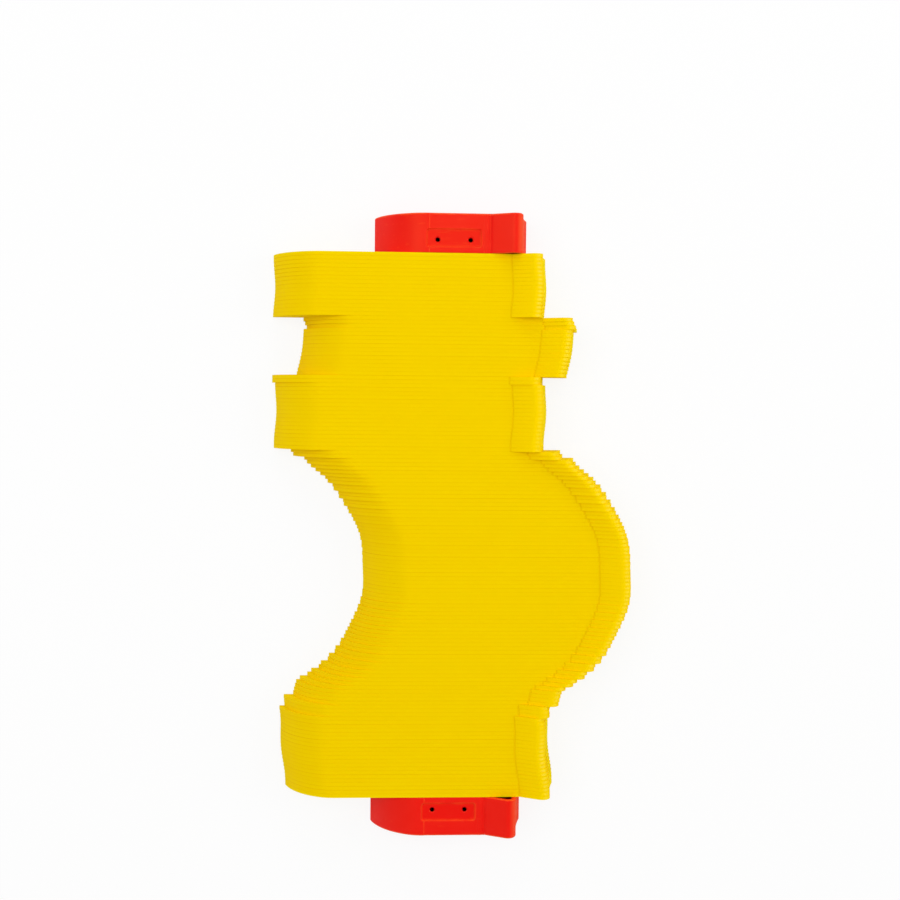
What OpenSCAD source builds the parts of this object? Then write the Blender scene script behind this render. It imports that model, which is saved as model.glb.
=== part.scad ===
// Contour gauge: a stack of thin plastic fingers that slide on a flat steel bar between two end caps.
// X runs along the fingers, Y along the stack and Z up from the surface that the gauge lies on.
// The origin is on that surface, below the middle of the bar and of the stack.

/* [Fingers] */
// Number of fingers in the stack
finger_count = 139; // [30:1:150]
// Distance from one finger to the next along the stack
finger_pitch = 1.44; // [1:0.02:2]
// Gap between neighbouring fingers
finger_gap = 0.05; // [0.02:0.01:0.2]
// Length of a finger from nose tip to lip
finger_l = 102; // [90:0.5:120]
// Depth of a finger from its back to its flat front
finger_h = 17; // [14:0.5:20]
// How far a finger's back clears the surface
finger_lift = 0.4; // [0.2:0.1:1]

/* [Nose and flare] */
// Length of the curved nose
nose_l = 17; // [15:0.5:20]
// Radius of the curved nose
nose_r = 24; // [22:0.5:30]
// Radius of the round stretch between the nose and the flat front
nose_blend = 15; // [8:1:16]
// Height of the blunt edge at the nose tip and at the lip
edge_h = 0.6; // [0.3:0.1:1.5]
// Length of the flared end from its crease to its lip
flare_l = 14.3; // [12:0.1:18]
// Rise of the flare's crest above the flat front
flare_h = 3.8; // [3:0.1:6]
// Radius of the rounded crest
crest_r = 3; // [2:0.25:3.5]
// How far the lip stands out past the crest
lip_out = 3; // [2:0.2:5]

/* [Core bar] */
// Width of the bar
bar_w = 20; // [14:0.5:24]
// Thickness of the bar
bar_t = 2; // [1.5:0.25:3]
// How far the bar's ends lie inside the caps' outer faces
bar_recess = 0.6; // [0.2:0.1:2]
// Clearance above and below the bar in a finger's slot
slot_clear = 0.2; // [0.1:0.05:0.4]
// Clearance left between the bar and a slot's end at the end of the travel
stop_clear = 0.2; // [0.1:0.05:0.5]

/* [End caps] */
// Length of a cap along X
cap_l = 57; // [50:0.5:64]
// Thickness of a cap along the stack
cap_t = 14.5; // [12:0.5:20]
// How far the caps' middle lies from the bar's middle
cap_shift = -0.5; // [-2:0.25:2]
// Wall thickness of the cored caps
cap_wall = 1.6; // [1.2:0.1:2.2]
// Gap between a cap and the nearest finger
cap_gap = 0.1; // [0.05:0.05:0.5]
// Clearance round the bar in a cap's socket
bar_fit = 0.1; // [0.05:0.05:0.2]
// Width of the pad on a cap's front
pad_w = 19.8; // [16:0.2:22]
// Length of the pad along the stack
pad_l = 6.4; // [5:0.2:8]
// Distance from the stack to the near edge of the pad
pad_in = 2.3; // [1.5:0.1:4]
// Depth of the pad below the land round it
pad_h = 0.45; // [0.2:0.05:0.8]
// Radius of the pad's corners
pad_r = 0.8; // [0.4:0.1:1.5]
// Depth of the land below the cap's front
land_h = 0.15; // [0.1:0.05:0.3]
// Distance from the bar's middle to the land's edge
land_x = 9; // [8:0.25:11]
// Width of the groove at the foot of a cap's flare
crease_w = 1; // [0.6:0.1:1.6]
// Depth of that groove below the land
crease_d = 0.2; // [0.1:0.05:0.4]

/* [Pins] */
// Diameter of a pin
pin_d = 1.7; // [1.2:0.1:2.4]
// Radial clearance of a pin in its hole
pin_fit = 0.03; // [0.01:0.01:0.08]
// Distance between the two pins of a cap
pin_spacing = 12; // [9:0.5:14]
// Distance from the stack to a pin's axis
pin_in = 4.8; // [4:0.1:7]
// How far a pin's ends lie below the faces round them
pin_recess = 0.25; // [0.1:0.05:0.6]
// Diameter of the post that holds a pin inside a cap
post_d = 5; // [4:0.5:6]

/* [Pressed shape] */
// Radius of the round form that the fingers are pressed to
press_r = 48; // [30:1:60]
// Place of that form's middle along the stack
press_y = -17.8; // [-30:0.2:30]
// Slide of the finger that the form pushes furthest
press_slide = 41.7; // [30:0.1:44]
// Height of the slow waves that pressing leaves along the stack
press_uneven = 0.35; // [0:0.05:0.5]
// Number of fingers in one of those waves
press_wave = 16; // [8:1:40]
// How far a finger sticks to its neighbour, as a share of the pitch
press_stick = 0.35; // [0:0.05:0.6]

/* [Hidden] */
$fn = 96;
eps = 0.01;
crest_bite = 0.06;     // overlap that lets the crest's arc cross the lines beside it cleanly
blend_bite = 0.02;     // the same for the round stretch between nose and flat
turn = 193;            // degrees in the pattern of sticking between one finger and the next
fingers_per_group = 3;

finger_t = finger_pitch - finger_gap;
stack_l = finger_count * finger_pitch;
front_z = finger_lift + finger_h;
bar_z = finger_lift + finger_h / 2;
crest_v = finger_h + flare_h;               // top of the crest above a finger's back
cap_x = cap_shift - cap_l / 2;              // nose tip of the caps
cap_y = stack_l / 2 + cap_gap;              // inner face of the upper cap
cap_end = stack_l / 2 + cap_t;              // outer face of the upper cap
pin_y = stack_l / 2 + pin_in;
land_z = front_z - land_h;
pad_z = land_z - pad_h;

// A finger slides from lips in line with the caps' lips to noses in line with the caps' noses
travel = finger_l - cap_l;
tip_x = cap_x - travel;
slot_x = -cap_x - bar_w / 2 - stop_clear;      // slot's nose end, from the finger's tip
slot_l = bar_w + travel + 2 * stop_clear;

// Side profile, from the nose tip at u = 0 on the back line at v = 0
nose_chord = [nose_l, finger_h - edge_h];
nose_mid = [nose_l / 2, (finger_h + edge_h) / 2];
nose_drop = sqrt(nose_r * nose_r - nose_chord * nose_chord / 4) / norm(nose_chord);
nose_c = nose_mid + nose_drop * [nose_chord.y, -nose_chord.x];
blend_y = finger_h - nose_blend;
blend_c = [nose_c.x - sqrt(pow(nose_r - nose_blend, 2) - pow(blend_y - nose_c.y, 2)), blend_y];
blend_far = nose_c + 2 * nose_r * (blend_c - nose_c) / norm(blend_c - nose_c);

// Runs of fingers that the round form doesn't reach: first finger, and the slides of the run's first
// and last finger as shares of the travel
runs = [
    [0, 0.171, 0.167],
    [16, 0.42, 0.445],
    [19, 0.416, 0.364],
    [31, 0.163, 0.163],
    [33, 0.186, 0.178],
    [50, 0.318, 0.335],
    [52, 0.4245, 0.444],
    [54, 0.175, 0.175],
    [111, 0.373, 0.347],
    [115, 0.266, 0.266],
    [118, 0.222, 0.274]
];

function finger_y(i) = stack_l / 2 - (i + 0.5) * finger_pitch;

function run_of(i) = max([for (k = [0 : len(runs) - 1]) if (runs[k][0] <= i) k]);

function run_last(k) = k + 1 < len(runs) ? runs[k + 1][0] - 1 : max(finger_count - 1, runs[k][0] + 1);

function run_slide(i, k) =
    travel * (runs[k][1] + (runs[k][2] - runs[k][1]) * (i - runs[k][0]) / (run_last(k) - runs[k][0]));

function press_depth(y) =
    abs(y - press_y) < press_r ? press_slide - press_r + sqrt(pow(press_r, 2) - pow(y - press_y, 2)) : 0;

function even_slide(i) =
    max(run_slide(i, run_of(i)), press_depth(finger_y(i) + press_stick * finger_pitch * sin(i * turn)));

function slide(i) = min(travel, max(0, even_slide(i) - press_uneven * cos(i * 360 / press_wave)));

// Fingers left over by the grouping go into the last group
group_count = floor(finger_count / fingers_per_group);

function group_first(g) = g * fingers_per_group;

function group_last(g) = g < group_count - 1 ? group_first(g + 1) - 1 : finger_count - 1;

function group_name(g) = str("fingers_", g < 9 ? "0" : "", g + 1);

// Outline that fingers and caps share, l long, reaching foot below the back line, inset by a wall.
// The nose is cut by one circle, blended into the flat by a second, and the end is cut by a third.
// A ramp leads from the crease to the round crest.
module side_profile(l, foot = 0, inset = 0) {
    crest_c = [l - lip_out - crest_r + crest_bite, crest_v - crest_r];
    to_crest = crest_c - [l - flare_l, finger_h];
    ramp = atan2(to_crest.y, to_crest.x) + asin((crest_r - crest_bite) / norm(to_crest));
    ramp_foot = crest_c + (crest_r - crest_bite - inset) * [-sin(ramp), cos(ramp)];
    ramp_start = ramp_foot - flare_l * [cos(ramp), sin(ramp)];
    end_drop = crest_v - edge_h;
    end_r = (end_drop * end_drop + lip_out * lip_out) / (2 * lip_out);
    difference() {
        union() {
            intersection() {
                translate([inset, inset - foot]) square([l - 2 * inset, finger_h + foot - 2 * inset]);
                union() {
                    intersection() {
                        translate(nose_c) circle(nose_r - inset);
                        polygon([
                            nose_c,
                            blend_far,
                            [-nose_r, blend_far.y],
                            [-nose_r, -nose_r],
                            [nose_c.x, -nose_r]
                        ]);
                    }
                    translate(blend_c) circle(nose_blend + blend_bite - inset);
                    translate([blend_c.x, -foot]) square([l - blend_c.x, finger_h + foot]);
                }
            }
            polygon([ramp_start, ramp_foot, crest_c, [l, crest_c.y], [l, ramp_start.y]]);
            translate(crest_c) circle(crest_r - inset);
        }
        translate([l - lip_out + end_r, crest_v]) circle(end_r + inset);
        translate([l - inset, -foot]) square([lip_out, crest_v]);
    }
}

// Stands a drawing in X and Z up and gives it a thickness along Y, from y to y + t
module along_y(y, t) {
    translate([0, y + t, 0]) rotate([90, 0, 0]) linear_extrude(t) children();
}

module finger(i) {
    translate([tip_x + slide(i), 0, finger_lift])
        along_y(finger_y(i) - finger_t / 2, finger_t)
            difference() {
                side_profile(finger_l);
                translate([slot_x, bar_z - finger_lift - bar_t / 2 - slot_clear])
                    square([slot_l, bar_t + 2 * slot_clear]);
            }
}

module finger_group(g) {
    color([0.94, 0.81, 0.05])
        for (i = [group_first(g) : group_last(g)]) finger(i);
}

module pin_places() {
    for (x = [-1, 1] * pin_spacing / 2) translate([x, pin_y, 0]) children();
}

module core_bar() {
    bar_l = 2 * (cap_end - bar_recess);
    color([0.62, 0.63, 0.65])
        difference() {
            translate([-bar_w / 2, -bar_l / 2, bar_z - bar_t / 2]) cube([bar_w, bar_l, bar_t]);
            for (m = [0, 1]) mirror([0, m, 0])
                pin_places() translate([0, 0, bar_z - bar_t]) cylinder(d = pin_d + 2 * pin_fit, h = 2 * bar_t);
        }
}

// Rounded rectangle with its corner at the origin
module round_rect(w, l, r) {
    translate([r, 0]) square([w - 2 * r, l]);
    translate([0, r]) square([w, l - 2 * r]);
    for (x = [r, w - r], y = [r, l - r]) translate([x, y]) circle(r);
}

module cap_shell() {
    translate([cap_x, 0, finger_lift])
        difference() {
            along_y(cap_y, cap_end - cap_y) side_profile(cap_l, finger_lift);
            along_y(cap_y - eps, cap_end - cap_y - cap_wall + eps) side_profile(cap_l, finger_lift, cap_wall);
        }
}

// Socket round the bar, a web on each side of it and a post round each pin, all inside the shell
module cap_core() {
    socket_w = bar_w + 2 * (bar_fit + cap_wall);
    socket_h = bar_t + 2 * (bar_fit + cap_wall);
    depth = cap_end - cap_y - cap_wall / 2;
    translate([-socket_w / 2, cap_y, bar_z - socket_h / 2]) cube([socket_w, depth, socket_h]);
    intersection() {
        translate([cap_x, cap_y, bar_z - cap_wall / 2]) cube([cap_l, depth, cap_wall]);
        translate([cap_x, 0, finger_lift])
            along_y(cap_y, depth) side_profile(cap_l, finger_lift, cap_wall / 2);
    }
    pin_places() translate([0, 0, cap_wall / 2]) cylinder(d = post_d, h = front_z - cap_wall);
}

module cap_upper() {
    crease_x = cap_x + cap_l - flare_l;
    difference() {
        union() {
            cap_shell();
            cap_core();
        }
        translate([-bar_w / 2 - bar_fit, cap_y - eps, bar_z - bar_t / 2 - bar_fit])
            cube([bar_w + 2 * bar_fit, cap_t, bar_t + 2 * bar_fit]);
        translate([-land_x, cap_y - eps, land_z]) cube([crease_x + land_x, cap_t, flare_h]);
        translate([crease_x - crease_w, cap_y - eps, land_z - crease_d]) cube([crease_w, cap_t, flare_h]);
        translate([-pad_w / 2, stack_l / 2 + pad_in, pad_z])
            linear_extrude(flare_h) round_rect(pad_w, pad_l, pad_r);
        pin_places() translate([0, 0, -eps]) cylinder(d = pin_d + 2 * pin_fit, h = front_z);
    }
}

module end_cap_upper() {
    color([0.93, 0.16, 0.11]) cap_upper();
}

module end_cap_lower() {
    color([0.93, 0.16, 0.11]) mirror([0, 1, 0]) cap_upper();
}

module cap_pins() {
    pin_places() translate([0, 0, pin_recess]) cylinder(d = pin_d, h = pad_z - 2 * pin_recess);
}

module pins_upper() {
    color([0.06, 0.06, 0.06]) cap_pins();
}

module pins_lower() {
    color([0.06, 0.06, 0.06]) mirror([0, 1, 0]) cap_pins();
}

core_bar();
end_cap_upper();
end_cap_lower();
pins_upper();
pins_lower();
for (g = [0 : group_count - 1])
    finger_group(g);
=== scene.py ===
from math import radians

import bpy
import numpy as np
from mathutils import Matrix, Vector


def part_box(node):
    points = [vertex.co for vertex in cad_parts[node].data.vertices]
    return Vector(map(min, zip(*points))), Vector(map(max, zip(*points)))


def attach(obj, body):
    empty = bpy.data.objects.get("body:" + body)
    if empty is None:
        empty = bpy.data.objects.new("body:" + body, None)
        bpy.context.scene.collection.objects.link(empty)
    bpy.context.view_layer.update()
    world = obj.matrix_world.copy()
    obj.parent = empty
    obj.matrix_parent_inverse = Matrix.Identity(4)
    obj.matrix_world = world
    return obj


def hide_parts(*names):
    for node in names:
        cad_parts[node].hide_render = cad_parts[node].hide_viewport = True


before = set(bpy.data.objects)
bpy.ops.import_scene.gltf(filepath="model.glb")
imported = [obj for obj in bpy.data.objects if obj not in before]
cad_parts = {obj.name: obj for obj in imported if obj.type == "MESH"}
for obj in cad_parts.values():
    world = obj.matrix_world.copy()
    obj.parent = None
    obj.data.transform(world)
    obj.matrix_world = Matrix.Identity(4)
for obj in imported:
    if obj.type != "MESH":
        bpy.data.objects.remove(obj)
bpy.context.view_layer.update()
mm = 0.001
scene = bpy.context.scene
scene.view_settings.view_transform = "Standard"


# camera, nearly straight above the gauge
camera = {
    "place": (-23.76, 47.11, 460.34),
    "turn": (-2.434, -2.944, 0.601),  # degrees about X, Y and Z
    "focal": 48.6,
    "sensor": 36,
    "nearest": 10,
}

lens = bpy.data.cameras.new("camera")
lens.lens = camera["focal"]
lens.sensor_width = camera["sensor"]
lens.clip_start = camera["nearest"] * mm
eye = bpy.data.objects.new("camera", lens)
eye.location = [v * mm for v in camera["place"]]
eye.rotation_euler = [radians(v) for v in camera["turn"]]
scene.collection.objects.link(eye)
scene.camera = eye
print("camera set")


# small helpers for node trees

def linear(colour):
    # sRGB levels from 0 to 255 turned into linear light
    level = np.asarray(colour, float) / 255
    light = np.where(level <= 0.04045, level / 12.92, ((level + 0.055) / 1.055) ** 2.4)
    return (*light.tolist(), 1.0)


def addNode(tree, kind, inputs=None, **settings):
    node = tree.nodes.new(kind)
    for name, value in settings.items():
        setattr(node, name, value)
    for key, value in (inputs or {}).items():
        if isinstance(value, bpy.types.NodeSocket):
            tree.links.new(value, node.inputs[key])
        else:
            node.inputs[key].default_value = value
    return node


def addMath(tree, operation, first, second=0.0, clamp=False):
    node = addNode(tree, "ShaderNodeMath", {0: first, 1: second}, operation=operation, use_clamp=clamp)
    return node.outputs[0]


def times(tree, first, second, clamp=False):
    return addMath(tree, "MULTIPLY", first, second, clamp)


def plus(tree, first, second):
    return addMath(tree, "ADD", first, second)


def addRamp(tree, value, low, high):
    # 0 below low, 1 above high and a smooth rise between them
    node = addNode(tree, "ShaderNodeMapRange", {"Value": value, "From Min": low, "From Max": high},
                   interpolation_type="SMOOTHSTEP")
    return node.outputs["Result"]


def addNoise(tree, vector, scale, detail, roughness=0.5):
    # uneven values around 0.5
    node = addNode(tree, "ShaderNodeTexNoise",
                   {"Vector": vector, "Scale": scale, "Detail": detail, "Roughness": roughness})
    return node.outputs["Fac"]


def addDraw(tree, number):
    # a random value from 0 to 1 for each whole number
    node = addNode(tree, "ShaderNodeTexWhiteNoise", {"W": number}, noise_dimensions="1D")
    return node.outputs["Value"]


def addStretch(tree, vector, scale):
    return addNode(tree, "ShaderNodeMapping", {"Vector": vector, "Scale": scale}).outputs[0]


def readShares(tree, names):
    # what a mesh carries at its points and faces under these names
    return [addNode(tree, "ShaderNodeAttribute", attribute_name=name).outputs["Fac"] for name in names]


def addMix(tree, share, first, second):
    # from the first colour to the second
    node = addNode(tree, "ShaderNodeMix", {"Factor": share}, data_type="RGBA")
    for socket, value in ((node.inputs[6], first), (node.inputs[7], second)):
        if isinstance(value, bpy.types.NodeSocket):
            tree.links.new(value, socket)
        else:
            socket.default_value = value
    return node.outputs[2]


def newGroup(name, inputs, outputs):
    tree = bpy.data.node_groups.new(name, "ShaderNodeTree")
    for socketName, kind, value in inputs:
        socket = tree.interface.new_socket(socketName, in_out="INPUT", socket_type=kind)
        if value is not None:
            socket.default_value = value
    for socketName, kind in outputs:
        tree.interface.new_socket(socketName, in_out="OUTPUT", socket_type=kind)
    source = tree.nodes.new("NodeGroupInput")
    target = tree.nodes.new("NodeGroupOutput")
    return tree, source.outputs, target.inputs


def useGroup(tree, group, inputs):
    return addNode(tree, "ShaderNodeGroup", inputs, node_tree=group).outputs


def newMaterial(name, settings):
    material = bpy.data.materials.new(name)
    material.use_nodes = True
    tree = material.node_tree
    shader = tree.nodes["Principled BSDF"]
    for key, value in settings.items():
        shader.inputs[key].default_value = value
    place = addNode(tree, "ShaderNodeTexCoord").outputs["Object"]
    return material, tree, shader.inputs, place


def addBump(tree, shader, height, strength, depth):
    bump = addNode(tree, "ShaderNodeBump", {"Height": height, "Strength": strength, "Distance": depth * mm})
    tree.links.new(bump.outputs[0], shader["Normal"])


# shared effects
effects = {
    "rubRise": 0.12,  # from the start of a rub mark to its full strength
    "rubPatch": 60.0,
    "rubBreak": (0.42, 0.62),
    "highlightRange": (0.1, 0.7),
}


def makeMouldGrain():
    # Height is fine noise and Mottle slow noise, both from 0 to 1
    tree, source, target = newGroup(
        "mouldGrain",
        [("Vector", "NodeSocketVector", None), ("Grain", "NodeSocketFloat", 2500.0),
         ("Patch", "NodeSocketFloat", 120.0)],
        [("Height", "NodeSocketFloat"), ("Mottle", "NodeSocketFloat")])
    fine = addNoise(tree, source["Vector"], source["Grain"], 3.0)
    slow = addNoise(tree, source["Vector"], source["Patch"], 2.0)
    tree.links.new(fine, target["Height"])
    tree.links.new(slow, target["Mottle"])
    return tree


def makeRubMarks():
    # Mask is noise drawn out along one axis and cut to its peaks, broken up by slower noise
    tree, source, target = newGroup(
        "rubMarks",
        [("Vector", "NodeSocketVector", None), ("Stretch", "NodeSocketVector", (40.0, 900.0, 900.0)),
         ("Level", "NodeSocketFloat", 0.62)],
        [("Mask", "NodeSocketFloat")])
    drawn = addStretch(tree, source["Vector"], source["Stretch"])
    lines = addNoise(tree, drawn, 1.0, 2.0, 0.6)
    patches = addNoise(tree, source["Vector"], effects["rubPatch"], 1.0)
    peaks = addRamp(tree, lines, source["Level"], plus(tree, source["Level"], effects["rubRise"]))
    broken = addRamp(tree, patches, *effects["rubBreak"])
    tree.links.new(times(tree, peaks, broken), target["Mask"])
    return tree


def makeSpecks():
    # Mask is 1 close to the middles of a few random cells
    tree, source, target = newGroup(
        "specks",
        [("Vector", "NodeSocketVector", None), ("Cells", "NodeSocketFloat", 220.0),
         ("Size", "NodeSocketFloat", 0.08), ("Share", "NodeSocketFloat", 0.05)],
        [("Mask", "NodeSocketFloat")])
    cells = addNode(tree, "ShaderNodeTexVoronoi", {"Vector": source["Vector"], "Scale": source["Cells"]})
    near = addMath(tree, "LESS_THAN", cells.outputs["Distance"], source["Size"])
    draw = addNode(tree, "ShaderNodeSeparateColor", {"Color": cells.outputs["Color"]})
    chosen = addMath(tree, "LESS_THAN", draw.outputs[0], source["Share"])
    tree.links.new(times(tree, near, chosen), target["Mask"])
    return tree


def makePaintedHighlight():
    # Mask for a painted highlight: the given edge share, stronger and weaker by slow noise
    tree, source, target = newGroup(
        "paintedHighlight",
        [("Vector", "NodeSocketVector", None), ("Edge", "NodeSocketFloat", 0.0),
         ("Patch", "NodeSocketFloat", 300.0)],
        [("Mask", "NodeSocketFloat")])
    slow = addNoise(tree, source["Vector"], source["Patch"], 2.0)
    strength = addRamp(tree, slow, *effects["highlightRange"])
    tree.links.new(times(tree, source["Edge"], strength, clamp=True), target["Mask"])
    return tree


mouldGrain = makeMouldGrain()
rubMarks = makeRubMarks()
specks = makeSpecks()
paintedHighlight = makePaintedHighlight()
print("shared effects made")


# meshes

def gridQuads(copies, rings, points):
    # quads between ring k and k + 1 and point s and s + 1, for each copy; both wrap round
    f, k, s = np.meshgrid(np.arange(copies), np.arange(rings), np.arange(points), indexing="ij")
    nextRing, nextPoint = (k + 1) % rings, (s + 1) % points
    corners = [(k, s), (k, nextPoint), (nextRing, nextPoint), (nextRing, s)]
    quads = [(f * rings + ring) * points + point for ring, point in corners]
    return np.stack(quads, -1).reshape(-1, 4)


def makePiece(name, points, faces, body, nodes, material):
    mesh = bpy.data.meshes.new(name)
    mesh.from_pydata((points.reshape(-1, 3) * mm).tolist(), [], faces, shade_flat=False)
    mesh.materials.append(material)
    piece = bpy.data.objects.new(name, mesh)
    scene.collection.objects.link(piece)
    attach(piece, body)
    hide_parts(*nodes)
    return piece


def addAttribute(piece, name, domain, values):
    attribute = piece.data.attributes.new(name, "FLOAT", domain)
    attribute.data.foreach_set("value", np.asarray(values, np.float32).ravel())


def boxOf(node):
    # lowest and highest corner of a node in millimetres
    return [np.array(corner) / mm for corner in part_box(node)]


def smooth(value, low, high):
    # 0 at low, 1 at high and an S curve between them
    t = np.clip((value - low) / (high - low), 0, 1)
    return t * t * (3 - 2 * t)


# side profile that fingers and caps share, in millimetres: u from the nose tip and v up from the back
profile = {
    "depth": 17,
    "edge": 0.6,
    "noseLength": 17,
    "noseRadius": 24,
    "noseBlend": 15,  # radius of the arc between the nose and the flat
    "flareLength": 14.3,
    "crest": 20.8,
    "crestRadius": 3,
    "lipOut": 3,
    "corner": 0.2,  # rounding of the tip and the lip
    "crease": 0.1,  # half width of the line at the flare's foot
}


def arc(middle, radius, first, last, steps):
    # points on a circle from one angle to another
    a = np.linspace(first, last, steps)
    return middle + radius * np.stack((np.cos(a), np.sin(a)), -1)


def sideOutline(length, steps, flatShares, foot=0.0, inset=0.0):
    # Closed outline, clockwise from the tip: the nose is an arc from the tip, a second arc inside it blends
    # it into the flat, a ramp rises from the crease as a tangent to the crest's arc, and the end is an arc
    # through the lip. An inset makes the arcs and lines run that far inside. Gives four stretches: nose,
    # flat, flare, back.
    p = profile
    tip, top = np.array((0, p["edge"])), np.array((p["noseLength"], p["depth"]))
    chord = top - tip
    across = np.array((chord[1], -chord[0]))
    noseMiddle = (tip + top) / 2 + np.sqrt(p["noseRadius"] ** 2 / (chord @ chord) - 0.25) * across
    rise = p["depth"] - p["noseBlend"] - noseMiddle[1]
    back = np.sqrt((p["noseRadius"] - p["noseBlend"]) ** 2 - rise ** 2)
    blendMiddle = noseMiddle + (-back, rise)
    radius, blend, low = p["noseRadius"] - inset, p["noseBlend"] - inset, inset - foot
    start = max(p["edge"], low + p["corner"])
    tipAngle = np.pi - np.arcsin((start - noseMiddle[1]) / radius)
    joinAngle = np.arctan2(rise, -back)
    flatAngle = np.arccos((p["noseLength"] - blendMiddle[0]) / p["noseBlend"])
    nose = np.concatenate((arc(noseMiddle, radius, tipAngle, joinAngle, steps["nose"]),
                           arc(blendMiddle, blend, joinAngle, flatAngle, steps["blend"])[1:]))

    crestMiddle = np.array((length - p["lipOut"] - p["crestRadius"], p["crest"] - p["crestRadius"]))
    toCrest = crestMiddle - (length - p["flareLength"], p["depth"])
    slope = np.arctan2(*toCrest[::-1]) + np.arcsin(p["crestRadius"] / np.linalg.norm(toCrest))
    up = np.array((np.cos(slope), np.sin(slope)))
    crest = arc(crestMiddle, p["crestRadius"] - inset, slope + np.pi / 2, 0, steps["crest"])
    crease = crest[0] - up * (crest[0][1] - p["depth"] + inset) / up[1]
    flatU = nose[-1][0] + (crease[0] - p["crease"] - nose[-1][0]) * np.asarray(flatShares)
    flatV = blendMiddle[1] + np.sqrt(blend ** 2 - np.minimum(flatU - blendMiddle[0], 0) ** 2)
    flat = np.stack((flatU, flatV), -1)
    feet = crease + np.array(((0, -p["crease"] / 2), p["crease"] * up, 6 * p["crease"] * up))

    drop = p["crest"] - p["edge"]
    endRadius = (drop ** 2 + p["lipOut"] ** 2) / (2 * p["lipOut"])
    v = np.linspace(crestMiddle[1], start, steps["end"])[1:]
    u = length - p["lipOut"] + endRadius - np.sqrt((endRadius + inset) ** 2 - (p["crest"] - v) ** 2)
    lip, tail, c = u[-1], nose[0][0], p["corner"] / 2
    flare = np.concatenate((feet, crest, np.stack((u, v), -1), ((lip, low + c),)))
    under = np.array(((lip - c, low), (lip * 2 / 3, low), (lip / 3, low), (tail + c, low), (tail, low + c)))
    return [nose, flat, flare, under]


def outlineNormals(points):
    # outward normal at each point, the mean of the normals of the two edges that meet there
    step = np.roll(points, -1, 0) - points
    edge = np.stack((-step[:, 1], step[:, 0]), -1) / np.linalg.norm(step, axis=1)[:, None]
    mean = edge + np.roll(edge, 1, 0)
    return mean / np.linalg.norm(mean, axis=1)[:, None]


def holeLoop(left, right, low, high, stretches):
    # a rectangle with one point for each point of the outline: each stretch goes along one side
    corners = np.array(((left, low), (left, high), (right, high), (right, low), (left, low)))
    sides = []
    for start, stop, stretch in zip(corners, corners[1:], stretches):
        share = np.arange(1, len(stretch) + 1) / len(stretch)
        sides.append(start + (stop - start) * share[:, None])
    return np.concatenate(sides)


def lift(flat, y):
    # points in the side plane turned into space, with y along the stack
    return np.stack((flat[..., 0], np.broadcast_to(y, flat.shape[:-1]), flat[..., 1]), -1)


# fingers, in millimetres
finger = {
    "slot": (18.8, 84.2, 7.3, 9.7),  # start, end, low and high edge, from the tip and the back
    "round": 0.015,  # rounding of the plate's edges
    "crown": 0.012,  # rise of the front's middle line over its edges
    "gap": 0.006,  # what is seen between two plates
    "steps": {"nose": 11, "blend": 4, "crest": 9, "end": 7},
    "flatShares": (0.034, 1 / 3, 2 / 3, 0.992, 1),
    "tipEdge": (0.1, 0.6),  # where the painted highlight on the tip's edge fades
    "endEdge": 1,  # how far before the lip the end's painted highlight is full
    "flareRise": 1,  # length in which the flare's colour sets in
    "rubPlace": 1.3,  # middle of the painted highlight spot, past the crest's highest line
    "glintWidth": 0.7,
    "noseSeam": 0.7,  # the painted shade at the seams between fingers shows more on the nose
    "endSeam": 0.8,  # and less from the ramp to the end
    "seamBand": (0.42, 0.49),  # from a finger's middle to its seam, as a share of the pitch
    "seamLow": 0.16,
    "seamRange": 0.36,  # some seams are stronger by up to this
    "seamPower": 3.0,  # high: few of them are
    "dashStretch": (260.0, 700.0, 0.0),
    "dashLevel": (0.66, 0.78),
    "dashMost": 0.8,
    "creaseShadeShare": 0.15,
    "spotBand": (0.45, 0.1),  # from a finger's middle, where a painted highlight spot ends and where it is full
    "spotShare": 0.4,
    "spotPatch": 45.0,
    "grain": {"Grain": 1800.0, "Patch": 90.0},
    "rubs": {"Stretch": (70.0, 1600.0, 1600.0), "Level": 0.6},
    "specks": {"Cells": 130.0, "Size": 0.035, "Share": 0.03},
    "colour": (241, 203, 0),
    "paleColour": (249, 222, 0),
    "toneShare": 0.08,  # how far single fingers turn pale
    "mottleShare": 0.12,
    "rubShare": 0.15,
    "sideLightShare": 0.45,
    "flareLightColour": (254, 216, 0),  # painted light: a paler flare that stands in for light on the ramp
    "flareLightShare": 0.6,
    # painted highlight on the tip's edge, the end faces and the outer edges
    "edgeColour": (243, 228, 0),
    "edgeShare": 0.6,
    # painted highlight of the crest spots
    "glintColour": (254, 234, 96),
    "seamShadeAndDirtColour": (212, 140, 0),
    "speckColour": (110, 75, 10),
    "speckShare": 0.6,
    "gloss": 0.025,
    "glossTint": (255, 224, 20),
    "glow": 0.1,  # share of light that goes into the plastic
    "glowReach": 0.25,
    "glowTint": (1.0, 0.7, 0.1),  # how far red, green and blue go in it
    "rough": 0.32,
    "roughMottle": 0.14,
    "roughSteep": 0.5,
    "roughRub": 0.08,
    "bump": 0.06,
    "bumpDepth": 0.1,
}


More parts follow.
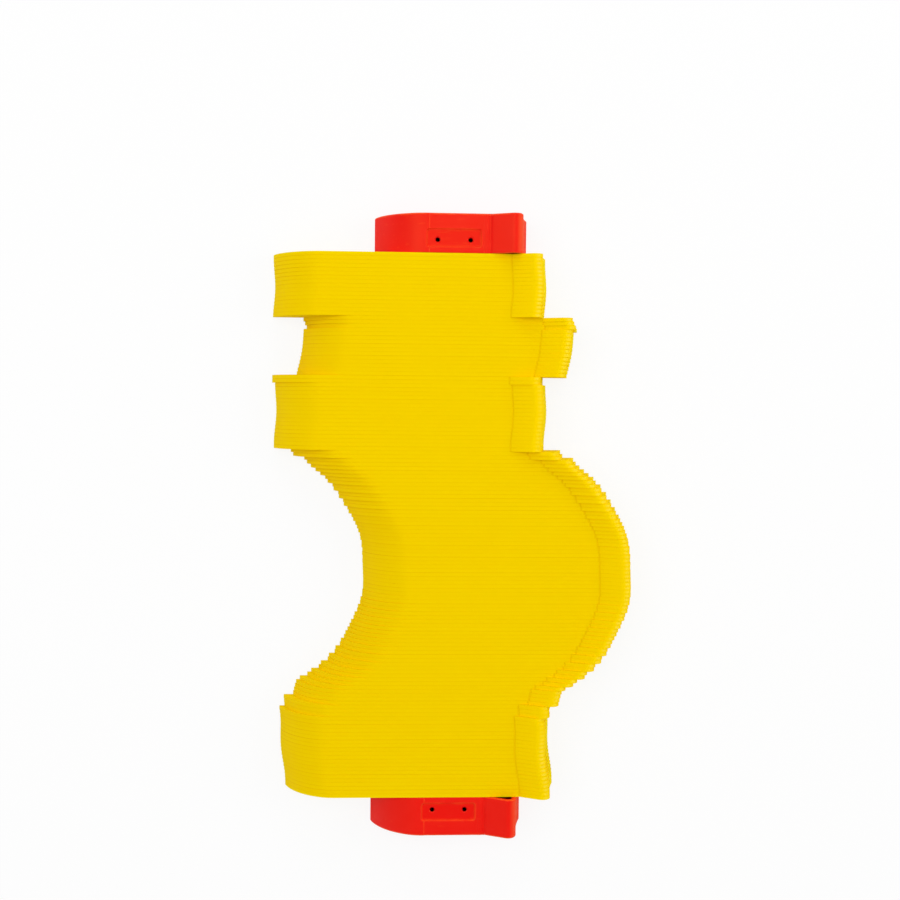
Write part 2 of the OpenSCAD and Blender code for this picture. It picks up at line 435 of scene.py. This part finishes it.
def fingerRings(length, thick):
    # Seven rings round one finger: edge, front, crown, front, edge, slot, slot. The crown is the outline
    # itself, the front rings lie inside it by the crown's rise and the edge rings by the rounding too. The
    # normals follow the crown's parabola across the front, and turn to the side's across the rounding.
    s = finger
    insets = (0, s["crown"], s["crown"] + s["round"])
    stretches = [sideOutline(length, s["steps"], s["flatShares"], inset=inset) for inset in insets]
    crown, front, edge = (np.concatenate(each) for each in stretches)
    slot = holeLoop(*s["slot"], stretches[0])
    half = thick / 2
    ys = (-half, s["round"] - half, 0, half - s["round"], half, half, -half)
    loops = (edge, front, crown, front, edge, slot, slot)
    rings = np.stack([lift(loop, y) for loop, y in zip(loops, ys)])

    middle = lift(outlineNormals(crown), 0)
    side = np.broadcast_to(np.array((0, 1, 0)), middle.shape)
    lean = 2 * s["crown"] / half
    low, high = (middle + sign * lean * side for sign in (-1, 1))
    starts = (-side, low, middle, high, side, side, -side)
    stops = (low, middle, high, side, side, side, -side)
    corners = [np.stack((a, np.roll(a, -1, 0), np.roll(b, -1, 0), b), 1)
               for a, b in zip(starts, stops)]
    step = np.roll(slot, -1, 0) - slot
    wall = lift(np.stack((step[:, 1], -step[:, 0]), -1) / np.linalg.norm(step, axis=1)[:, None], 0)
    corners[5] = np.repeat(wall[:, None], 4, 1)
    normals = np.stack(corners)
    return rings, normals / np.linalg.norm(normals, axis=-1, keepdims=True)


def fingerPlaces(node):
    # tip, length, back, and the two sides of each finger in a node, from its mesh
    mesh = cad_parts[node].data
    co = np.empty(len(mesh.vertices) * 3, np.float32)
    mesh.vertices.foreach_get("co", co)
    co = co.reshape(-1, 3) / mm
    sides = np.unique(np.round(co[:, 1], 3)).reshape(-1, 2)
    slack = 0.01
    places = []
    for low, high in sides:
        one = co[(co[:, 1] > low - slack) & (co[:, 1] < high + slack)]
        places.append((one[:, 0].min(), np.ptp(one[:, 0]), one[:, 2].min(), low, high))
    return np.array(places)


def makeFingerPlastic():
    s = finger
    material, tree, shader, place = newMaterial("fingerPlastic", {
        "Specular IOR Level": s["gloss"], "Specular Tint": linear(s["glossTint"]),
        "Subsurface Weight": s["glow"], "Subsurface Scale": s["glowReach"] * mm,
        "Subsurface Radius": s["glowTint"]})
    rim, ends, seam, flare, crest, crease, steep = readShares(
        tree, ("rim", "edge", "seam", "flare", "crest", "crease", "steep"))
    grain = useGroup(tree, mouldGrain, {"Vector": place, **s["grain"]})
    rubs = useGroup(tree, rubMarks, {"Vector": place, **s["rubs"]})["Mask"]
    dots = useGroup(tree, specks, {"Vector": place, **s["specks"]})["Mask"]

    # the finger's number along the stack, with a tone of its own, and the distance from its middle line
    y = addNode(tree, "ShaderNodeSeparateXYZ", {"Vector": place}).outputs["Y"]
    fromStart = addMath(tree, "SUBTRACT", y, stack["start"] * mm)
    count = addMath(tree, "DIVIDE", fromStart, stack["pitch"] * mm)
    tone = addDraw(tree, addMath(tree, "FLOOR", count))
    fromMiddle = addMath(tree, "SUBTRACT", addMath(tree, "FRACT", count), 0.5)
    fromMiddle = addMath(tree, "ABSOLUTE", fromMiddle)

    # grooves: painted shade close to a finger's edge, on the front only, each line of its own strength, with
    # short dashes of dirt, and painted shade along the crease
    depth = addDraw(tree, addMath(tree, "FLOOR", plus(tree, count, 0.5)))
    lines = times(tree, addMath(tree, "POWER", depth, s["seamPower"]), s["seamRange"])
    lines = times(tree, plus(tree, lines, s["seamLow"]), seam)
    uneven = addNoise(tree, addStretch(tree, place, s["dashStretch"]), 1.0, 3.0)
    most = addMath(tree, "MINIMUM", seam, s["dashMost"])
    dashes = times(tree, addRamp(tree, uneven, *s["dashLevel"]), most)
    groove = addMath(tree, "MAXIMUM", dashes, lines)
    groove = times(tree, groove, addRamp(tree, fromMiddle, *s["seamBand"]))
    groove = addMath(tree, "MAXIMUM", groove, times(tree, crease, s["creaseShadeShare"]))
    groove = times(tree, groove, rim, clamp=True)

    # painted highlight: pale spots on the crest, one in the middle of each finger, standing in for its glint
    spot = times(tree, crest, addRamp(tree, fromMiddle, *s["spotBand"]))
    spot = times(tree, spot, s["spotShare"])
    spots = useGroup(tree, paintedHighlight, {"Vector": place, "Edge": spot, "Patch": s["spotPatch"]})["Mask"]

    lighter = plus(tree, times(tree, tone, s["toneShare"]), times(tree, grain["Mottle"], s["mottleShare"]))
    # painted light: the side faces are paler, standing in for light that catches them
    paintedSideLight = times(tree, addMath(tree, "SUBTRACT", 1.0, rim), s["sideLightShare"])
    colour = linear(s["colour"])
    # tone, rub marks and specks are the plastic's own; paler sides, flare, tip and end edges and crest spots
    # are painted light; grooves are painted shade with dirt dashes
    for share, name in (
            (lighter, "paleColour"), (times(tree, rubs, s["rubShare"]), "paleColour"),
            (paintedSideLight, "paleColour"), (times(tree, flare, s["flareLightShare"]), "flareLightColour"),
            (times(tree, ends, s["edgeShare"]), "edgeColour"), (spots, "glintColour"),
            (groove, "seamShadeAndDirtColour"), (times(tree, dots, s["speckShare"]), "speckColour")):
        colour = addMix(tree, share, colour, linear(s[name]))
    tree.links.new(colour, shader["Base Color"])
    rough = plus(tree, times(tree, grain["Mottle"], s["roughMottle"]), s["rough"])
    rough = plus(tree, rough, times(tree, steep, s["roughSteep"]))
    rough = plus(tree, rough, times(tree, rubs, s["roughRub"]))
    tree.links.new(rough, shader["Roughness"])
    addBump(tree, shader, grain["Height"], s["bump"], s["bumpDepth"])
    return material


def fingerMarks(length):
    # Shares at each point of the outline: the painted highlight on the tip's edge and the end; how much the
    # painted shade at the seams between fingers shows, more on the nose and less up the ramp; the painted
    # light on the whole flare; a bell curve on the crest for its painted highlight spots; the painted shade
    # of the crease; and how steep the surface is, one less the upward part of its normal. Only the last isn't
    # 0 on the back.
    s, p = finger, profile
    stretches = sideOutline(length, s["steps"], s["flatShares"])
    outline, creaseU = np.concatenate(stretches), stretches[1][-1, 0]
    u, v = outline.T
    above = v > 0
    crestEnd = length - p["lipOut"]
    crestTop = crestEnd - p["crestRadius"]
    edge = np.maximum(1 - smooth(u, *s["tipEdge"]), smooth(u, crestEnd, length - s["endEdge"])) * above
    noseSeam = s["noseSeam"] * (1 - smooth(u, 0, p["noseLength"]))
    endSeam = s["endSeam"] * smooth(u, creaseU, crestTop)
    seam = (1 + noseSeam - endSeam) * above
    flare = smooth(u, creaseU, creaseU + s["flareRise"]) * above
    crest = np.exp(-((u - crestTop - s["rubPlace"]) / s["glintWidth"]) ** 2) * (v > p["depth"])
    crease = (np.abs(u - creaseU) < 3 * p["crease"]) & above
    steep = np.clip(1 - outlineNormals(outline)[:, 1], 0, 1)
    return {"edge": edge, "seam": seam, "flare": flare, "crest": crest, "crease": crease, "steep": steep}


fingerNodes = sorted(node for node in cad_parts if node.startswith("fingers_"))
allPlaces = [fingerPlaces(node) for node in fingerNodes]
lowest, highest = (pick([pick(p[:, 3:]) for p in allPlaces]) for pick in (np.min, np.max))
fingerLength, fingerThick = allPlaces[0][0, 1], np.ptp(allPlaces[0][0, 3:])
stack = {"pitch": float(np.diff(allPlaces[0][:, 3]).mean())}
stack["start"] = float(lowest) - (stack["pitch"] - fingerThick) / 2

fingerPlastic = makeFingerPlastic()
rings, corners = fingerRings(fingerLength, stack["pitch"] - finger["gap"])
ringCount, pointCount = rings.shape[:2]
marks = fingerMarks(fingerLength)
isFront = np.repeat((1, 1, 1, 1, 0, 0, 0), pointCount)
isSide = [0, 4, 5, 6]  # rings that the side faces meet
for node, places in zip(fingerNodes, allPlaces):
    copies = len(places)
    shift = np.stack((places[:, 0], places[:, 3:].mean(1), places[:, 2]), -1)
    points = rings + shift[:, None, None, :]
    quads = gridQuads(copies, ringCount, pointCount).tolist()
    piece = makePiece(node + "_plates", points, quads, node, [node], fingerPlastic)
    normals = np.broadcast_to(corners, (copies, *corners.shape))
    piece.data.normals_split_custom_set(normals.reshape(-1, 3).tolist())
    addAttribute(piece, "rim", "FACE", np.tile(isFront, copies))
    for name, mark in marks.items():
        share = np.tile(mark, (copies, ringCount, 1)).astype(float)
        share[:, isSide] = name == "steep"
        if name == "edge":  # painted highlight on the bare outer edges of the first and the last finger
            share[places[:, 3] == lowest, 1] = 1
            share[places[:, 4] == highest, 3] = 1
        addAttribute(piece, name, "POINT", share)
print("fingers:", sum(len(p) for p in allPlaces), "in", len(fingerNodes), "groups")


# end caps, in millimetres: x along the fingers, w from the face that the stack meets
cap = {
    "foot": 0.4,  # how far the back reaches below a finger's back
    "wall": 1.6,
    "barFit": 0.1,
    "outerRound": 0.8,
    "faceRim": 0.05,  # strip that keeps the outer face flat inside its rounding
    "innerRound": 0.25,
    "pad": (-9.9, 9.9, 2.2, 8.6),  # from and to in x, then in w
    "padCorner": 0.8,
    "padDepth": 0.45,
    "landStart": -9,
    "landDepth": 0.15,
    "groove": (12.7, 13.55),  # from and to in x, as the rib's
    "grooveDepth": 0.2,
    "rib": (10.9, 12.1),
    "ribRise": 0.1,
    "dimple": (0.9, 1.2),  # radii of the sunk ring round a pin
    "dimpleDepth": 0.25,
    "slope": 0.15,  # half width of a step's slope
    "edgeLines": 9,  # grid lines over a step's edge
    "pinReach": 1.4,
    "pinLines": 23,
    "lineGap": 0.01,  # least distance between grid lines
    "columns": 18,
    "rows": 10,
    "roundSteps": 7,
    "sharpAngle": 40,  # degrees
    "steps": {"nose": 26, "blend": 8, "crest": 16, "end": 12},
    "colour": (241, 25, 22),
    "deepColour": (236, 3, 10),
    # pale orange: painted highlight on rounded edges and edge lines, painted light on the crest; rub marks
    # and specks use it too
    "edgeColour": (255, 96, 34),
    "lineHighlight": 0.4,
    "paintedHighlight": 0.9,
    "crestLight": 0.5,
    "padShare": 0.8,
    "rubShare": 0.15,
    "speckShare": 0.4,
    "grain": {"Grain": 2200.0, "Patch": 110.0},
    "rubs": {"Stretch": (90.0, 700.0, 700.0), "Level": 0.6},
    "specks": {"Cells": 260.0, "Size": 0.06, "Share": 0.04},
    "highlightPatch": 250.0,
    "marks": ("pad", "edge", "crest", "steep"),  # shares that the mesh carries
    "gloss": 0.35,
    "glossTint": (255, 185, 110),
    "glow": 0.25,
    "glowReach": 0.5,
    "glowTint": (1.0, 0.15, 0.1),
    "rough": 0.32,
    "roughGrain": 0.12,
    "roughSteep": 0.5,
    "bump": 0.1,
    "bumpDepth": 0.1,
}


def refine(low, high, coarse, edges, pins):
    # even steps from low to high, with more lines close to each edge and each pin, kept a least gap apart
    s = cap
    near = [edge + 2 * s["slope"] * np.linspace(-1, 1, s["edgeLines"]) for edge in edges]
    near += [pin + s["pinReach"] * np.linspace(-1, 1, s["pinLines"]) for pin in pins]
    lines = np.sort(np.concatenate((np.linspace(low, high, coarse), *near)))
    lines = lines[(lines > low + s["lineGap"]) & (lines < high - s["lineGap"])]
    lines = lines[np.diff(lines, prepend=low) > s["lineGap"]]
    return np.concatenate(([low], lines, [high]))


def capRelief(x, w, pinX, pinW):
    # How far the front is sunk: a wide land with a low rib, a groove at the flare's foot, a pad with round
    # corners (distance to a rounded rectangle) and a dimple round each pin. Also gives where the pad is, and
    # its edges and the land's as bell curves of the distance to them, which carry a painted highlight.
    s, slope = cap, cap["slope"]
    x0, x1, w0, w1 = s["pad"]
    land = smooth(x, s["landStart"] - slope, s["landStart"] + slope)
    groove, rib = (smooth(x, start - slope, start + slope) * (1 - smooth(x, stop - slope, stop + slope))
                   for start, stop in (s["groove"], s["rib"]))
    qx = np.abs(x - (x0 + x1) / 2) - (x1 - x0) / 2 + s["padCorner"]
    qw = np.abs(w - (w0 + w1) / 2) - (w1 - w0) / 2 + s["padCorner"]
    apart = np.hypot(np.maximum(qx, 0), np.maximum(qw, 0)) + np.minimum(np.maximum(qx, qw), 0)
    apart = apart - s["padCorner"]
    pad = 1 - smooth(apart, -slope, slope)
    fromPin = np.hypot(np.abs(x) - pinX, w - pinW)
    dimple = 1 - smooth(fromPin, *s["dimple"])
    sunk = s["landDepth"] * np.maximum(land, pad) + s["grooveDepth"] * groove + s["padDepth"] * pad
    sunk -= s["ribRise"] * rib
    bells = np.exp(-(apart / (2 * slope)) ** 2)
    bells = bells + np.exp(-((x - s["landStart"]) / slope) ** 2) * (1 - pad)
    return sunk + s["dimpleDepth"] * dimple, pad, np.minimum(bells, 1)


def capRings(length, thick, left, barBox, pinX, pinW):
    # Rings from the bar's slot in the flat outer face, over the outer edge, along the front to the inner
    # edge, round the wall into the hollow, and back along the bar's socket to the slot. Also gives the shares
    # of the pad, of the painted highlight on edges and of the painted light on the crest at each point, and
    # how steep the surface is there.
    s = cap
    x0 = left + profile["noseLength"]
    x1 = left + length - profile["flareLength"]
    steps = (*s["pad"][:2], s["landStart"], *s["groove"], *s["rib"])
    columns = refine(x0, x1, s["columns"], steps, (-pinX, pinX))
    shares = ((columns - x0) / (x1 - x0))[1:]
    rows = refine(s["innerRound"], thick - s["outerRound"], s["rows"], s["pad"][2:], (pinW,))

    def loop(inset):
        return sideOutline(length, s["steps"], shares, s["foot"], inset)

    crestEnd = length - profile["lipOut"]
    crestTop = crestEnd - profile["crestRadius"]

    def frontRing(inset, w, edgeLight):
        stretches = loop(inset)
        nose, flat = len(stretches[0]), stretches[1]
        steep = np.clip(1 - outlineNormals(np.concatenate(stretches))[:, 1], 0, 1)
        sunk, pad, bells = capRelief(flat[:, 0] + left, w, pinX, pinW)
        flat[:, 1] -= sunk
        outline = np.concatenate(stretches)
        u, v = outline.T
        # painted light on the crest, half as strong down the end face
        crest = smooth(u, crestTop, crestEnd) * (1 - smooth(u, crestEnd, length) / 2)
        crest *= (1 - inset / s["outerRound"]) * (v > inset - s["foot"])
        marks = np.stack((np.zeros_like(crest), np.full_like(crest, edgeLight), crest, steep), -1)
        marks[nose:nose + len(flat), 0] = pad
        # painted highlight along the pad's and land's edge lines and on the rounded edges
        marks[nose:nose + len(flat), 1] = np.maximum(bells * s["lineHighlight"], edgeLight)
        return lift(outline, w), marks

    def plainRing(outline, w):
        return lift(outline, w), np.broadcast_to((0, 0, 0, 1), (len(outline), 4))

    fit, wall = s["barFit"], s["wall"]
    (bx0, _, bz0), (bx1, _, bz1) = barBox
    hole = (bx0 - left - fit, bx1 - left + fit, bz0 - s["foot"] - fit, bz1 - s["foot"] + fit)
    socket = (hole[0] - wall, hole[1] + wall, hole[2] - wall, hole[3] + wall)
    slotLoop, socketLoop = (holeLoop(*sides, loop(0)) for sides in (hole, socket))
    hollow = np.concatenate(loop(wall))

    turn = np.linspace(0, np.pi / 2, s["roundSteps"])
    rise, fall = 1 - np.cos(turn), 1 - np.sin(turn)
    outer = zip(s["outerRound"] * fall, thick - s["outerRound"] * rise, np.sin(2 * turn))
    inner = zip(s["innerRound"] * rise, s["innerRound"] * fall, np.sin(turn))
    face = np.concatenate(loop(s["outerRound"] + s["faceRim"]))
    rings = [plainRing(slotLoop, thick), plainRing(face, thick)]
    rings += [frontRing(inset, w, edgeLight * s["paintedHighlight"]) for inset, w, edgeLight in outer]
    rings += [frontRing(0, w, 0) for w in rows[::-1][1:-1]]
    rings += [frontRing(inset, w, edgeLight * s["paintedHighlight"]) for inset, w, edgeLight in inner]
    rings += [plainRing(hollow, 0), plainRing(hollow, thick - wall)]
    rings += [plainRing(socketLoop, thick - wall), plainRing(socketLoop, 0), plainRing(slotLoop, 0)]
    return [np.stack(kind) for kind in zip(*rings)]


def makeCapPlastic():
    s = cap
    material, tree, shader, place = newMaterial("capPlastic", {
        "Specular IOR Level": s["gloss"], "Specular Tint": linear(s["glossTint"]),
        "Subsurface Weight": s["glow"], "Subsurface Scale": s["glowReach"] * mm,
        "Subsurface Radius": s["glowTint"]})
    pad, edge, crest, steep = readShares(tree, s["marks"])
    grain = useGroup(tree, mouldGrain, {"Vector": place, **s["grain"]})
    rubs = useGroup(tree, rubMarks, {"Vector": place, **s["rubs"]})["Mask"]
    dots = useGroup(tree, specks, {"Vector": place, **s["specks"]})["Mask"]
    edgeLight = useGroup(tree, paintedHighlight, {"Vector": place, "Edge": edge, "Patch": s["highlightPatch"]})["Mask"]
    colour = addMix(tree, grain["Mottle"], linear(s["deepColour"]), linear(s["colour"]))
    # pad in deeper red; painted light on the crest and painted highlight on edges in pale orange; rubs and
    # specks are the plastic's own
    for share, name in (
            (times(tree, pad, s["padShare"]), "deepColour"),
            (times(tree, crest, s["crestLight"]), "edgeColour"), (edgeLight, "edgeColour"),
            (times(tree, rubs, s["rubShare"]), "edgeColour"),
            (times(tree, dots, s["speckShare"]), "edgeColour")):
        colour = addMix(tree, share, colour, linear(s[name]))
    tree.links.new(colour, shader["Base Color"])
    rough = plus(tree, times(tree, grain["Height"], s["roughGrain"]), s["rough"])
    rough = plus(tree, rough, times(tree, steep, s["roughSteep"]))
    tree.links.new(rough, shader["Roughness"])
    addBump(tree, shader, grain["Height"], s["bump"], s["bumpDepth"])
    return material


capPlastic = makeCapPlastic()
for node, pinNode, side in (("end_cap_upper", "pins_upper", 1), ("end_cap_lower", "pins_lower", -1)):
    (x0, y0, _), (x1, y1, _) = boxOf(node)
    pinLow, pinHigh = boxOf(pinNode)
    face = min(abs(y0), abs(y1))
    pinX = (pinHigh[0] - pinLow[0]) / 2 - (pinHigh[1] - pinLow[1]) / 2
    pinW = abs(pinLow[1] + pinHigh[1]) / 2 - face
    points, marks = capRings(x1 - x0, y1 - y0, x0, boxOf("core_bar"), pinX, pinW)
    points = points * (1, side, 1) + (x0, side * face, cap["foot"])
    quads = gridQuads(1, *points.shape[:2])[:, ::-side].tolist()
    piece = makePiece(node + "_shell", points, quads, "frame", [node], capPlastic)
    piece.data.set_sharp_from_angle(angle=radians(cap["sharpAngle"]))
    for number, name in enumerate(cap["marks"]):
        addAttribute(piece, name, "POINT", marks[..., number])
print("caps finished")


# bar and pins, in millimetres
metal = {
    "weld": 0.005,
    "edgeRound": 0.15,
    "edgeSteps": 2,
    "edgeAngle": 40,  # degrees
    "barColours": ((150, 152, 156), (176, 178, 182)),
    "barBrush": (6000.0, 40.0, 6000.0),
    "barRough": (0.28, 0.2),  # least, and what the brushing adds
    "pinColours": ((12, 10, 10), (24, 22, 22)),
    "pinGrain": {"Grain": 4000.0, "Patch": 900.0},
    "pinGloss": 0.4,
    "pinRough": (0.3, 0.3),
}


def addFinish(tree, shader, tint, grain, colours, rough):
    # colour between two shades by tint, and roughness from its least by grain
    dark, pale = (linear(colour) for colour in colours)
    tree.links.new(addMix(tree, tint, dark, pale), shader["Base Color"])
    tree.links.new(plus(tree, times(tree, grain, rough[1]), rough[0]), shader["Roughness"])


def makeBarSteel():
    material, tree, shader, place = newMaterial("barSteel", {"Metallic": 1.0})
    lines = addNoise(tree, addStretch(tree, place, metal["barBrush"]), 1.0, 2.0)
    addFinish(tree, shader, lines, lines, metal["barColours"], metal["barRough"])
    return material


def makePinBlack():
    material, tree, shader, place = newMaterial("pinBlack", {"Specular IOR Level": metal["pinGloss"]})
    grain = useGroup(tree, mouldGrain, {"Vector": place, **metal["pinGrain"]})
    addFinish(tree, shader, grain["Mottle"], grain["Height"], metal["pinColours"], metal["pinRough"])
    return material


def softenEdges(solid):
    # merges the loose triangles of a solid and rounds its edges
    weld = solid.modifiers.new("weld", "WELD")
    weld.merge_threshold = metal["weld"] * mm
    bevel = solid.modifiers.new("bevel", "BEVEL")
    bevel.width = metal["edgeRound"] * mm
    bevel.segments = metal["edgeSteps"]
    bevel.limit_method = "ANGLE"
    bevel.angle_limit = radians(metal["edgeAngle"])
    bevel.harden_normals = True


barSteel, pinBlack = makeBarSteel(), makePinBlack()
for node, material in (("core_bar", barSteel), ("pins_upper", pinBlack), ("pins_lower", pinBlack)):
    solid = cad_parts[node]
    softenEdges(solid)
    solid.data.materials.clear()
    solid.data.materials.append(material)
print("bar and pins finished")


# floor and light
studio = {
    "floorSize": 6000,
    "floorDrop": 0.05,  # just below the caps' backs
    "floorColour": (0.9, 0.9, 0.9, 1),
    "whiteShare": 0.86,  # share of plain white in what the camera sees of the floor
    "skyLevel": 0.55,
    "lamps": (  # name, place, size and power
        ("key", (-520, 190, 950), 700, 3.7),
        ("top", (60, 320, 1000), 280, 0.8),
        ("back", (100, 950, 420), 500, 1.5),
        ("side", (950, 150, 560), 500, 3.2),
    ),
}


def makeFloor():
    half, drop = studio["floorSize"] / 2 * mm, studio["floorDrop"] * mm
    mesh = bpy.data.meshes.new("floor")
    corners = [(-half, -half, -drop), (half, -half, -drop), (half, half, -drop), (-half, half, -drop)]
    mesh.from_pydata(corners, [], [(0, 1, 2, 3)])
    floor = bpy.data.objects.new("floor", mesh)
    scene.collection.objects.link(floor)
    material = bpy.data.materials.new("floorWhite")
    material.use_nodes = True
    tree = material.node_tree
    tree.nodes.clear()
    diffuse = addNode(tree, "ShaderNodeBsdfDiffuse", {"Color": studio["floorColour"]})
    white = addNode(tree, "ShaderNodeEmission", {"Strength": 1.0})
    rays = addNode(tree, "ShaderNodeLightPath").outputs
    seen = addMath(tree, "MAXIMUM", rays["Is Camera Ray"], rays["Is Glossy Ray"])
    share = times(tree, seen, studio["whiteShare"])
    mixed = addNode(tree, "ShaderNodeMixShader", {0: share, 1: diffuse.outputs[0], 2: white.outputs[0]})
    output = addNode(tree, "ShaderNodeOutputMaterial")
    tree.links.new(mixed.outputs[0], output.inputs["Surface"])
    mesh.materials.append(material)


def makeLight():
    world = bpy.data.worlds.new("studio")
    scene.world = world
    world.use_nodes = True
    tree = world.node_tree
    rays = addNode(tree, "ShaderNodeLightPath").outputs
    level = addNode(tree, "ShaderNodeMapRange",
                    {"Value": rays["Is Camera Ray"], "To Min": studio["skyLevel"]})
    background = tree.nodes["Background"]
    background.inputs["Color"].default_value = (1, 1, 1, 1)
    tree.links.new(level.outputs["Result"], background.inputs["Strength"])
    for name, place, size, power in studio["lamps"]:
        lamp = bpy.data.lights.new(name, "AREA")
        lamp.size = size * mm
        lamp.energy = power
        light = bpy.data.objects.new(name, lamp)
        light.location = [v * mm for v in place]
        light.rotation_euler = light.location.to_track_quat("Z", "Y").to_euler()
        light.visible_camera = False
        scene.collection.objects.link(light)


makeFloor()
makeLight()
print("floor and light set")
